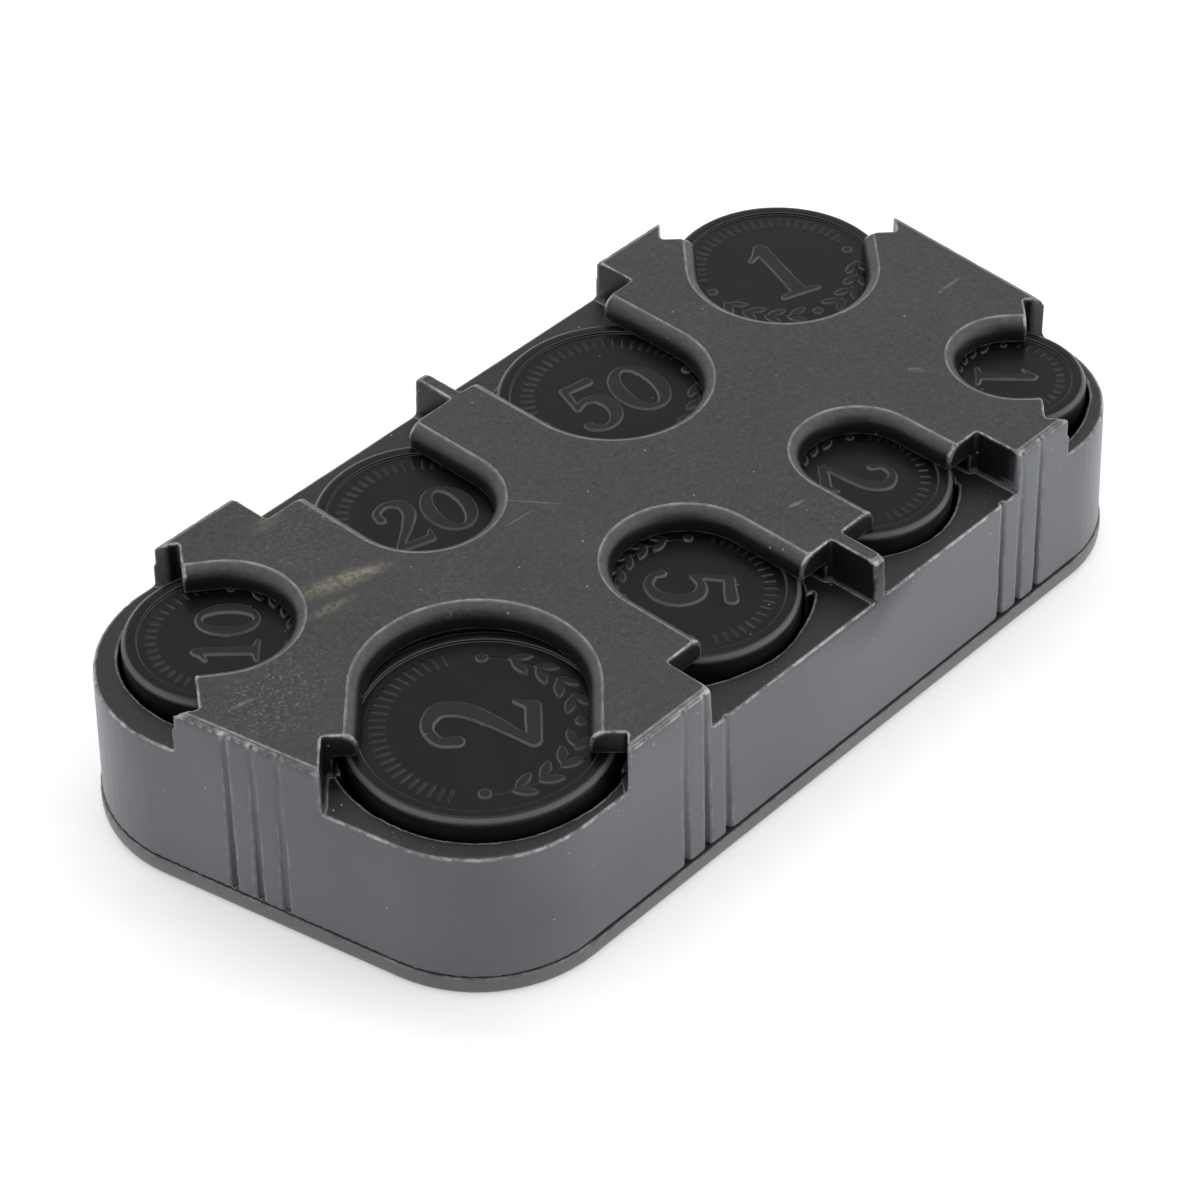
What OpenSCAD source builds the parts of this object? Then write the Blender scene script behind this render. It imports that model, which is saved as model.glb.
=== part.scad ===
// Pocket coin holder. A moulded top shell has eight round wells under a common top plate, a base
// plate closes it from below, and in each well a spring lifts a cup-shaped pusher against the lips
// of the top plate. The top coin of a stack slides out over the low ledge in front of its well.
//
// Origin: the middle of the resting face. +Z is up, +X runs along the holder to its far end, and
// +Y points to the left long side, which is the longer one. The left row holds four coins and the
// right row holds the other four, both listed from the near end to the far end.

/* [Holder] */
// Height over everything
holder_height = 21.2; // [20:0.1:28]
// Slant of the near end, in degrees
near_slant = 11.5; // [9:0.1:13]
// Slant of the far end, in degrees
far_slant = 3.9; // [2:0.1:6]
// Radius of the outline's corners
corner_r = 14.2; // [12:0.1:15]
// Radius of the corner by the smallest coin
small_corner_r = 12.7; // [11:0.1:14]
// Draft of the side walls, in degrees
wall_draft = 2; // [0.5:0.1:3]
// Rounding along the top edge of the walls
edge_round = 0.8; // [0.3:0.05:1.2]

/* [Top plate] */
// Thickness of the plate over the wells
plate_t = 2.65; // [2.2:0.05:3.5]
// Height of the gap under the plate that the top coin slides through
exit_h = 2.1; // [1.8:0.05:2.6]
// Radius of the rounded lip along each slot
lip_round = 1.7; // [1:0.05:2]
// Angle that the rounding keeps off the plate's top, where it leaves a soft crease
lip_crease = 12; // [5:1:30]
// Way from the left and the right wall to the plate's edge in the notches
side_notch = [5.9, 6.3]; // [5.5:0.1:6.5]

/* [Coins] */
// Diameters of the left row's coins
left_coins = [19.75, 22.25, 24.25, 23.25]; // [16:0.05:25]
// Diameters of the right row's coins
right_coins = [25.75, 21.25, 18.75, 16.25]; // [16:0.05:27]
// Gap between a coin and the wall of its well
well_gap = 0.3; // [0.2:0.05:0.4]
// Gap between a pusher and the wall of its well
pusher_gap = 0.4; // [0.3:0.05:0.6]

/* [Places of the wells] */
// Way from the left wall to the coins of the left row
left_margin = [2.9, 3.2, 3.2, 1.9]; // [1.8:0.05:4]
// Way from the right wall to the coins of the right row
right_margin = [2.4, 3.2, 3.2, 3.6]; // [1.8:0.05:4]
// Way from the near end to its left and right coins
near_margin = [4.55, 3.3]; // [3:0.05:6]
// Way from the far end to its left and right coins
far_margin = [2.15, 2.35]; // [2:0.05:4]
// Way between neighbouring coins of the left row, along the holder
left_web = [3.55, 2.65, 3.45]; // [2.5:0.05:5]
// Way between neighbouring coins of the right row but the last, along the holder
right_web = [3.1, 3.1]; // [2.5:0.05:4]
// Way between the two rows' middle coins, across the holder
row_web = 2.1; // [1.5:0.1:6]

/* [Slots and notches] */
// Ways out of the left row's wells, in degrees from +X
left_exit = [142, 90, 90, 45]; // [30:1:150]
// Ways out of the right row's wells, in degrees from +X
right_exit = [223, 270, 270, 314.4]; // [210:0.1:330]
// How far the plate laps over the left row's coins
left_lap = [1.8, 3, 1.9, 1.6]; // [1:0.05:3.5]
// How far the plate laps over the right row's coins
right_lap = [1.3, 2.3, 2.35, 1.1]; // [1:0.05:3.5]
// How far the left row's slots reach inwards past the middles of their wells
left_slot_in = [-0.5, 0.4, 0.1, 3.25]; // [-1:0.05:4]
// How far the right row's slots reach inwards past the middles of their wells
right_slot_in = [2.35, 0.75, 0.3, -0.65]; // [-1:0.05:4]
// How far the left row's slots are set to the left, looking out
left_slot_aside = [0.55, 0.65, 0.5, 0]; // [-1:0.05:1]
// How far the right row's slots are set to the left, looking out
right_slot_aside = [-0.55, 0.3, 0.55, -0.5]; // [-1:0.05:1]
// Side gaps of the left row's coins in their notches: left, looking out
left_gap_l = [2.9, 1.6, 0.2, 0.6]; // [0.2:0.05:3]
// Side gaps of the left row's coins in their notches: right, looking out
left_gap_r = [0.6, 1, 0.6, 0.7]; // [0.2:0.05:3]
// Side gaps of the right row's coins in their notches: left, looking out
right_gap_l = [0.2, 0.9, 1, 0.9]; // [0.2:0.05:3]
// Side gaps of the right row's coins in their notches: right, looking out
right_gap_r = [1.1, 0.9, 0.7, 2.3]; // [0.2:0.05:3]
// Way from the corner wells' middles to the plate's edge: near left, far left
left_corner_notch = [3.4, 2.2]; // [1.5:0.1:6]
// Way from the corner wells' middles to the plate's edge: near right, far right
right_corner_notch = [4.4, 2.6]; // [1.5:0.1:6]
// How far the pockets in front of the left row's wells spread, as a larger radius
left_pocket = [1.8, 3, 3, 2]; // [1:0.1:5]
// How far the pockets in front of the right row's wells spread, as a larger radius
right_pocket = [1.2, 4.5, 1.7, 4.3]; // [1:0.1:5]

/* [Grooves] */
// Distance between the three grooves of a group
groove_pitch = 2.9; // [2.4:0.1:3.4]
// Depth of a groove at the foot of the wall
groove_depth = 1.2; // [0.8:0.05:1.5]
// Width of a groove at the foot of the wall
groove_width = 0.95; // [0.5:0.05:1.4]
// Middle of the groups on both ends, across the holder
end_grooves_y = -0.8; // [-2:0.1:2]

/* [Base plate] */
// Thickness of the base plate
base_t = 2.2; // [1.8:0.1:3]
// How far its rim stands out past the walls
rim_step = 0.22; // [0.1:0.02:0.4]
// Rounding under its rim
rim_round = 0.8; // [0.3:0.1:1.2]
// Radius of the pegs that hold the base plate in the shell
peg_r = 1.2; // [1:0.05:1.5]
// Height of those pegs
peg_h = 4; // [2:0.5:8]
// Gap round a peg in its hole
peg_gap = 0.05; // [0.02:0.01:0.1]

/* [Pushers] */
// Height of a pusher
pusher_h = 3.9; // [3.4:0.1:4.5]
// Thickness of a pusher's roof
roof_t = 1.2; // [1:0.1:1.4]
// Thickness of a pusher's skirt
skirt_t = 1; // [0.8:0.1:1.2]
// Rounding of a pusher's top edge
pusher_round = 0.7; // [0.4:0.1:1]
// Width of the flat rim round a pusher's top
rim_w = 0.8; // [0.5:0.1:1.2]
// Depth of the field inside that rim
field_drop = 0.25; // [0.2:0.05:0.4]
// Gap between a pusher at rest and the lips
lip_gap = 0.05; // [0.03:0.01:0.1]

/* [Springs] */
// Wire diameter
wire_d = 0.55; // [0.4:0.05:0.6]
// Radius of a spring's lowest turn
spring_r_low = 5.2; // [4.6:0.1:5.8]
// Radius of a spring's highest turn
spring_r_high = 3.6; // [3.2:0.1:4.4]
// Turns
turns = 4.5; // [3:0.5:6]
// Height of the spigots that centre a spring below and above
spigot_h = 0.8; // [0.5:0.1:1.2]
// Gap between a spigot and its spring
spigot_gap = 0.6; // [0.5:0.05:0.8]

/* [Hidden] */
$fn = 64;

// Coins in one list: the left row from the near end, then the right row from the near end
COINS = ["10", "20", "50", "main_1", "main_2", "5", "2", "1"];
LAST = len(COINS) - 1;
// Colours of the mouldings and the wire
SHELL_GREY = [0.27, 0.28, 0.29];
PUSHER_BLACK = [0.12, 0.12, 0.13];
WIRE_STEEL = [0.7, 0.7, 0.72];
// Overshoot of a cut past the face that it opens
cut = 1;
// Reach of a cut that leaves the holder sideways
far_cut = 60;

function coin_r(i) = concat(left_coins, right_coins)[i] / 2;
function well_r(i) = coin_r(i) + well_gap;
function pusher_r(i) = well_r(i) - pusher_gap;
function exit_angle(i) = concat(left_exit, right_exit)[i];
function lap(i) = concat(left_lap, right_lap)[i];
function slot_in(i) = concat(left_slot_in, right_slot_in)[i];
function slot_aside(i) = concat(left_slot_aside, right_slot_aside)[i];
function gap_l(i) = concat(left_gap_l, right_gap_l)[i];
function gap_r(i) = concat(left_gap_r, right_gap_r)[i];
function pocket(i) = concat(left_pocket, right_pocket)[i];

// Heights
lip_z = holder_height - plate_t;
ledge_z = lip_z - exit_h;
pusher_top = lip_z - lip_gap;
// Width of the rounded lip, seen from above
lip_run = lip_round * (1 - sin(lip_crease));
// Steps of a rounded edge of the outline
ROUND_STEPS = 3;

// Across the holder: the middle coins of both rows set its width
holder_width = left_margin[2] + left_coins[2] + row_web + right_coins[1] + right_margin[1];
half_w = holder_width / 2;
left_y = [for (k = [0:3]) half_w - left_margin[k] - left_coins[k] / 2];
right_y = [for (k = [0:3]) right_margin[k] + right_coins[k] / 2 - half_w];
left_arc_y = half_w - corner_r;

// Along the holder: the coins of the left row set its length. The outline is two parallel long
// sides and two slanted ends, and each end touches the arcs at both of its corners. These give the
// way along the holder from the left arc's middle to a circle's middle that is a given way off the
// end's line.
function near_way(y, off) = (left_arc_y - y) * tan(near_slant) + (off - corner_r) / cos(near_slant);
function far_way(y, off) = (left_arc_y - y) * tan(far_slant) + (off - corner_r) / cos(far_slant);
first_way = near_way(left_y[0], near_margin[0] + left_coins[0] / 2);
last_way = far_way(left_y[3], far_margin[0] + left_coins[3] / 2);
row_way = (left_coins[0] + left_coins[3]) / 2 + left_coins[1] + left_coins[2]
          + left_web[0] + left_web[1] + left_web[2];
holder_length = first_way + row_way + last_way + 2 * corner_r;

// Middles of the corners' arcs
near_left = [corner_r - holder_length / 2, left_arc_y];
far_left = [holder_length / 2 - corner_r, left_arc_y];
near_right = [near_x(corner_r - half_w, corner_r), corner_r - half_w];
far_right = [far_x(small_corner_r - half_w, small_corner_r), small_corner_r - half_w];
function near_x(y, off) = near_left.x + near_way(y, off);
function far_x(y, off) = far_left.x - far_way(y, off);

// Middles of the wells
left_x0 = near_left.x + first_way;
left_x1 = left_x0 + (left_coins[0] + left_coins[1]) / 2 + left_web[0];
left_x2 = left_x1 + (left_coins[1] + left_coins[2]) / 2 + left_web[1];
left_x3 = left_x2 + (left_coins[2] + left_coins[3]) / 2 + left_web[2];
right_x0 = near_x(right_y[0], near_margin[1] + right_coins[0] / 2);
right_x1 = right_x0 + (right_coins[0] + right_coins[1]) / 2 + right_web[0];
right_x2 = right_x1 + (right_coins[1] + right_coins[2]) / 2 + right_web[1];
right_x3 = far_x(right_y[3], far_margin[1] + right_coins[3] / 2);
MIDDLES = [[left_x0, left_y[0]], [left_x1, left_y[1]], [left_x2, left_y[2]], [left_x3, left_y[3]],
           [right_x0, right_y[0]], [right_x1, right_y[1]], [right_x2, right_y[2]], [right_x3, right_y[3]]];

// Way from a well's middle to the plate's edge in its notch
function side_edge(i) = half_w - side_notch[MIDDLES[i].y > 0 ? 0 : 1] - abs(MIDDLES[i].y);
NOTCH_AT = [left_corner_notch[0], side_edge(1), side_edge(2), left_corner_notch[1],
            right_corner_notch[0], side_edge(5), side_edge(6), right_corner_notch[1]];

// Grooves: middles of the groups on the long sides, each tied to the edge of a notch beside it
left_near_group = left_x1 - coin_r(1) - gap_l(1) - 1.6 * groove_pitch;
left_far_group = left_x2 + coin_r(2) + gap_r(2) + 1.5 * groove_pitch;
right_near_group = right_x1 - coin_r(5) - gap_r(5) - 0.33 * groove_pitch;
right_far_group = right_x2 + coin_r(6) + gap_l(6) + 0.2 * groove_pitch;

// The pegs stand in the middle of the web between two wells of opposite rows
function web_middle(i, j) =
  let (way = MIDDLES[j] - MIDDLES[i], share = (norm(way) + well_r(i) - well_r(j)) / 2 / norm(way))
  MIDDLES[i] + share * way;
PEGS = [web_middle(1, 4), web_middle(2, 5), web_middle(3, 6), web_middle(3, 7)];

// Moves its children to a well, with +X as the way out of it
module at_well(i) {
  translate(MIDDLES[i]) rotate(exit_angle(i)) children();
}

// The outline between two heights, drawn in from the base plate's rim by in0 below and in1 above
module outline_block(z0, z1, in0, in1) {
  corners = [near_left, far_left, near_right, far_right];
  radii = [corner_r, corner_r, corner_r, small_corner_r];
  hull() for (k = [0:3])
    translate([corners[k].x, corners[k].y, z0])
      cylinder(r1 = radii[k] - in0, r2 = radii[k] - in1, h = z1 - z0);
}

// A rounded edge of the outline as three slanted steps, from the height z upwards, or downwards
// where way is -1
module outline_round(z, radius, inset, way) {
  for (k = [0:ROUND_STEPS - 1]) {
    a = 90 * k / ROUND_STEPS;
    b = 90 * (k + 1) / ROUND_STEPS;
    if (way > 0)
      outline_block(z + radius * sin(a), z + radius * sin(b),
                    inset + radius * (1 - cos(a)), inset + radius * (1 - cos(b)));
    else
      outline_block(z - radius * sin(b), z - radius * sin(a),
                    inset + radius * (1 - cos(b)), inset + radius * (1 - cos(a)));
  }
}

// Round well, the flat gap for the top coin, and the pocket in front of the well, which is bounded
// by a wider arc and lies inside the notch
module well_cut(i) {
  wide_r = well_r(i) + pocket(i) - 0.2;
  notch_w = 2 * coin_r(i) + gap_l(i) + gap_r(i);
  at_well(i) {
    translate([0, 0, base_t - cut]) cylinder(r = well_r(i), h = lip_z - base_t + cut);
    translate([0, -well_r(i), ledge_z]) cube([NOTCH_AT[i] + cut, 2 * well_r(i), exit_h]);
    intersection() {
      translate([-pocket(i), 0, base_t - cut]) cylinder(r = wide_r, h = lip_z - base_t);
      translate([NOTCH_AT[i], -coin_r(i) - gap_r(i), base_t - 2 * cut]) cube([far_cut, notch_w, lip_z]);
    }
  }
}

// Section of a slot, upright: the throat, and on each side the space over the rounded lip
module slot_section(throat_r, sides) {
  lip_mid_z = holder_height - lip_round * cos(lip_crease);
  translate([sides > 1 ? -throat_r : 0, lip_z - cut]) square([sides * throat_r, plate_t + 2 * cut]);
  for (side = [0:sides - 1]) mirror([side, 0]) difference() {
    translate([throat_r - cut / 2, lip_mid_z])
      square([lip_run + cut / 2, holder_height - lip_mid_z + cut]);
    translate([throat_r + lip_round, lip_mid_z]) circle(lip_round);
  }
}

// Slot in the top plate: round at its inner end, straight on the way out, with a rounded lip
module slot_cut(i) {
  throat_r = coin_r(i) - lap(i) - lip_run;
  at_well(i) translate([-slot_in(i), slot_aside(i), 0]) {
    rotate_extrude() slot_section(throat_r, 1);
    rotate([90, 0, 90]) linear_extrude(far_cut) slot_section(throat_r, 2);
  }
}

// Notch: the plate and the wall are cut down to the ledge, so that the coin can leave
module notch_cut(i) {
  notch_w = 2 * coin_r(i) + gap_l(i) + gap_r(i);
  at_well(i) translate([NOTCH_AT[i], -coin_r(i) - gap_r(i), ledge_z])
    cube([far_cut, notch_w, holder_height]);
}

// Three upright grooves of V section. The cutter is upright and the wall leans, so that the
// grooves run out thinner towards the top. +Y is the way into the wall.
module groove_group() {
  slope = groove_width / 2 / groove_depth;
  for (k = [-1:1])
    translate([k * groove_pitch, rim_step, base_t]) linear_extrude(holder_height)
      polygon([[-slope * (groove_depth + cut), -cut], [slope * (groove_depth + cut), -cut],
               [0, groove_depth]]);
}

module all_grooves() {
  for (x = [right_near_group, right_far_group])
    translate([x, -half_w, 0]) groove_group();
  for (x = [left_near_group, left_far_group])
    translate([x, half_w, 0]) rotate(180) groove_group();
  translate([near_x(end_grooves_y, 0), end_grooves_y, 0]) rotate(near_slant - 90) groove_group();
  translate([far_x(end_grooves_y, 0), end_grooves_y, 0]) rotate(90 - far_slant) groove_group();
}

// One moulding: drafted walls, eight wells, the top plate with its lips, ledges and notches
module top_shell() {
  round_z = holder_height - edge_round;
  top_in = rim_step + (round_z - base_t) * tan(wall_draft);
  color(SHELL_GREY) difference() {
    union() {
      outline_block(base_t, round_z, rim_step, top_in);
      outline_round(round_z, edge_round, top_in, 1);
    }
    for (i = [0:LAST]) {
      well_cut(i);
      slot_cut(i);
      notch_cut(i);
    }
    all_grooves();
    for (p = PEGS)
      translate([p.x, p.y, base_t - cut]) cylinder(r = peg_r + peg_gap, h = peg_h + 2 * cut);
  }
}

// Plate with a rounded rim that stands a little proud, a spigot under each spring and pegs that
// hold it in the shell
module base_plate() {
  color(SHELL_GREY) union() {
    outline_block(rim_round, base_t, 0, 0);
    outline_round(rim_round, rim_round, 0, -1);
    for (i = [0:LAST])
      translate([MIDDLES[i].x, MIDDLES[i].y, base_t / 2])
        cylinder(r = spring_r_low - wire_d / 2 - spigot_gap, h = base_t / 2 + spigot_h);
    for (p = PEGS)
      translate([p.x, p.y, base_t / 2]) cylinder(r = peg_r, h = base_t / 2 + peg_h);
  }
}

// Inverted cup with a rounded top edge, a flat rim and a field a little below it. A short spigot
// under the roof centres the spring.
module pusher(i) {
  r = pusher_r(i);
  field_r = r - pusher_round - rim_w;
  spigot_r = spring_r_high - wire_d / 2 - spigot_gap;
  color(PUSHER_BLACK) translate([MIDDLES[i].x, MIDDLES[i].y, pusher_top - pusher_h]) {
    rotate_extrude() difference() {
      union() {
        square([r - pusher_round, pusher_h]);
        square([r, pusher_h - pusher_round]);
        translate([r - pusher_round, pusher_h - pusher_round]) circle(pusher_round);
      }
      translate([0, -cut]) square([r - skirt_t, pusher_h - roof_t + cut]);
      translate([0, pusher_h - field_drop]) square([field_r, cut]);
    }
    translate([0, 0, pusher_h - roof_t - spigot_h]) cylinder(r = spigot_r, h = spigot_h + roof_t / 2);
  }
}

// Spring: a conical coil from the base plate to the pusher's roof. The height eases in and out
// over the first and the last half turn, so that both end turns lie flat.
spring_low = base_t;
spring_high = pusher_top - roof_t - lip_gap;
WIRE_SIDES = 6;
RINGS_PER_TURN = 8;
wire_side_r = wire_d / 2;
wire_flat = wire_side_r * cos(180 / WIRE_SIDES);
ease = 0.5 / turns;
function eased(u) =
  u < ease ? u * u / ease / 2 :
  u > 1 - ease ? 1 - ease - (1 - u) * (1 - u) / ease / 2 :
  u - ease / 2;
function coil_r(u) = spring_r_low + (spring_r_high - spring_r_low) * u;
function coil_z(u) =
  spring_low + wire_flat + (spring_high - spring_low - 2 * wire_flat) * eased(u) / (1 - ease);
function coil_point(u) =
  let (a = 360 * turns * u) [coil_r(u) * cos(a), coil_r(u) * sin(a), coil_z(u)];

RINGS = round(turns * RINGS_PER_TURN);
// A ring of the wire: its section stands upright across the coil, with a flat side down
function wire_ring(k) =
  let (u = k / RINGS, a = 360 * turns * u, middle = coil_point(u))
  [for (s = [0:WIRE_SIDES - 1])
     let (b = 360 * s / WIRE_SIDES)
     middle + wire_side_r * [cos(b) * cos(a), cos(b) * sin(a), sin(b)]];

module spring(i) {
  points = [for (k = [0:RINGS]) each wire_ring(k)];
  sides = [for (k = [0:RINGS - 1], s = [0:WIRE_SIDES - 1])
             let (a = k * WIRE_SIDES + s, b = k * WIRE_SIDES + (s + 1) % WIRE_SIDES)
             each [[a, a + WIRE_SIDES, b], [b, a + WIRE_SIDES, b + WIRE_SIDES]]];
  ends = [for (s = [1:WIRE_SIDES - 2])
            each [[0, s, s + 1],
                  [RINGS * WIRE_SIDES, RINGS * WIRE_SIDES + s + 1, RINGS * WIRE_SIDES + s]]];
  color(WIRE_STEEL) translate([MIDDLES[i].x, MIDDLES[i].y, 0])
    polyhedron(points, concat(sides, ends));
}

// Least gap between two turns of the coil, from points on its middle line at least half a turn
// apart
coil_gap = min([for (k = [0:RINGS], m = [k + RINGS_PER_TURN / 2:1:RINGS])
                  norm(coil_point(m / RINGS) - coil_point(k / RINGS))]) - wire_d;
echo(least_gap_between_turns = coil_gap);
echo(travel_of_a_pusher = pusher_top - pusher_h - base_t);

top_shell();
base_plate();
for (i = [0:LAST]) {
  pusher(i);
  spring(i);
}
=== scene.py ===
"""Looks of a pocket coin holder: moulded shell, base plate, eight embossed pushers and their springs.

Everything is in metres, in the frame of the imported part: +X along the holder to its far end, +Y to
its longer, left side, +Z up, and the origin in the middle of the resting face.
"""
import logging
import math
from dataclasses import dataclass
from enum import Enum

import bmesh
import bpy
import numpy as np
from mathutils import Matrix, Vector


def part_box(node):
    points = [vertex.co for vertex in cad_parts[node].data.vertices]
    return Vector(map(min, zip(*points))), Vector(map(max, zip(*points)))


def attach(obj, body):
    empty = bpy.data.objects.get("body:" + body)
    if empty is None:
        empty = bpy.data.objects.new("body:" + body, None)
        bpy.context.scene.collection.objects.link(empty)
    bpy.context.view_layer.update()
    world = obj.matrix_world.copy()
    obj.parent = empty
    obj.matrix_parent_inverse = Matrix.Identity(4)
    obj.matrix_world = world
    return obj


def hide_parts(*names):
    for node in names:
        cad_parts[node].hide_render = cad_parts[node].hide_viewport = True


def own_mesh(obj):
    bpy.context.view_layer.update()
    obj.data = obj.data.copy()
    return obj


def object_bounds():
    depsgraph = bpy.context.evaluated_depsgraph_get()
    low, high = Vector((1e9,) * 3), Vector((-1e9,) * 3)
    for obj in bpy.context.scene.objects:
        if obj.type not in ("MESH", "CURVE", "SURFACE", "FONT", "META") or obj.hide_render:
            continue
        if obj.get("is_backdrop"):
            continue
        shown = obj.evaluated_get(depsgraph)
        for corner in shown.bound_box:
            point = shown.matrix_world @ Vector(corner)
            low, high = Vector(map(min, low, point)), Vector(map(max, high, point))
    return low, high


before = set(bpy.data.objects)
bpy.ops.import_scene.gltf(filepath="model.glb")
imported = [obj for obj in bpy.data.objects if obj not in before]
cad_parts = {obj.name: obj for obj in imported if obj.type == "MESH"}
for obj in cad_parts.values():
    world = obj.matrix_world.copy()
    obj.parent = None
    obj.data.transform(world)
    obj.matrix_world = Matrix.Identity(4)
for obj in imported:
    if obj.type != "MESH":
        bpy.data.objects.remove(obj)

# Short names of types
Array = np.ndarray
Colour = tuple[float, ...]
Material = bpy.types.Material
Node = bpy.types.Node
Pair = tuple[float, float]
Piece = bpy.types.Object
Triple = tuple[float, float, float]

MM = 0.001
BLACK = (0.0, 0.0, 0.0, 1.0)
WHITE = (1.0, 1.0, 1.0, 1.0)
# Sockets of a Mix node that hold its colours
MIX_INPUTS = (6, 7)
MIX_OUTPUT = 2
# A speck is full up to this share of its radius, and this is the step in brightness at its rarity
SPECK_CORE = 0.7
SPECK_FADE = 0.02
# A soft spot is full up to the first share of its half sizes and gone at the second
SPOT_SPAN = (0.35, 1.0)
# How far a plate mark reaches up and down
MARK_REACH = 1.5 * MM
# Keeps a division from failing where a stroke has two equal points
SMALLEST = 1e-12
# Attributes: raised parts of a relief, convex edges that get wear and a painted highlight, and
# the outer walls
RAISED = "raised"
EDGE_WEAR_GLINT = "edge_wear_glint"
OUTER = "outer"
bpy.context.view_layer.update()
log = logging.getLogger("coin_holder")


class Mark(Enum):
    """Kinds of marks on the top plate, each with its colour; pale pits at the near end also paint sheen."""

    SCUFF = (0.28, 0.25, 0.175, 1.0)
    PITS_AND_SHEEN = (0.24, 0.24, 0.225, 1.0)
    SCRATCH = (0.24, 0.24, 0.235, 1.0)


@dataclass(frozen=True)
class Noise:
    """A noise pattern on Object coordinates, and the mask that is made of it.

    It has this many features per metre and octaves, a strength of the finer octaves, the values
    at which the mask starts and is full, and a scale for each axis.
    """

    scale: float
    detail: float
    roughness: float
    span: Pair = (0.0, 1.0)
    stretch: Triple = (1.0, 1.0, 1.0)


class NodeGraph:
    """Small builder for the node tree of a material or the world."""

    def __init__(self, owner: Material | bpy.types.World) -> None:
        """Empty a node tree.

        Args:
            owner: The material or the world that has it.
        """
        owner.use_nodes = True
        self.tree = owner.node_tree
        self.tree.nodes.clear()

    def add(self, kind: str) -> Node:
        """Add a shader node by the end of Blender's name for its kind."""
        return self.tree.nodes.new("ShaderNode" + kind)

    def link(self, source: Node, out: str | int, target: Node, into: str | int) -> None:
        """Join one socket to another, by their names or numbers."""
        self.tree.links.new(source.outputs[out], target.inputs[into])

    def math(self, operation: str, first: Node | float, second: Node | float) -> Node:
        """Add a math node.

        Args:
            operation: Blender's name of the operation.
            first: Node or number.
            second: Node or number.

        Returns:
            The math node.
        """
        node = self.add("Math")
        node.operation = operation
        node.use_clamp = operation in ("ADD", "MULTIPLY", "SUBTRACT")
        for index, value in enumerate((first, second)):
            if isinstance(value, Node):
                self.link(value, 0, node, index)
            else:
                node.inputs[index].default_value = value
        return node

    def seen_directly(self) -> Node:
        """Tell camera, glossy and transmission rays from the others, which carry the light.

        Returns:
            A math node, 1 for those rays and 0 for the others.
        """
        path = self.add("LightPath")
        seen: Node | float = 0.0
        for ray in ("Is Camera Ray", "Is Glossy Ray", "Is Transmission Ray"):
            seen = self.math("MAXIMUM", seen, 0.0)
            self.link(path, ray, seen, 1)
        return seen


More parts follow.
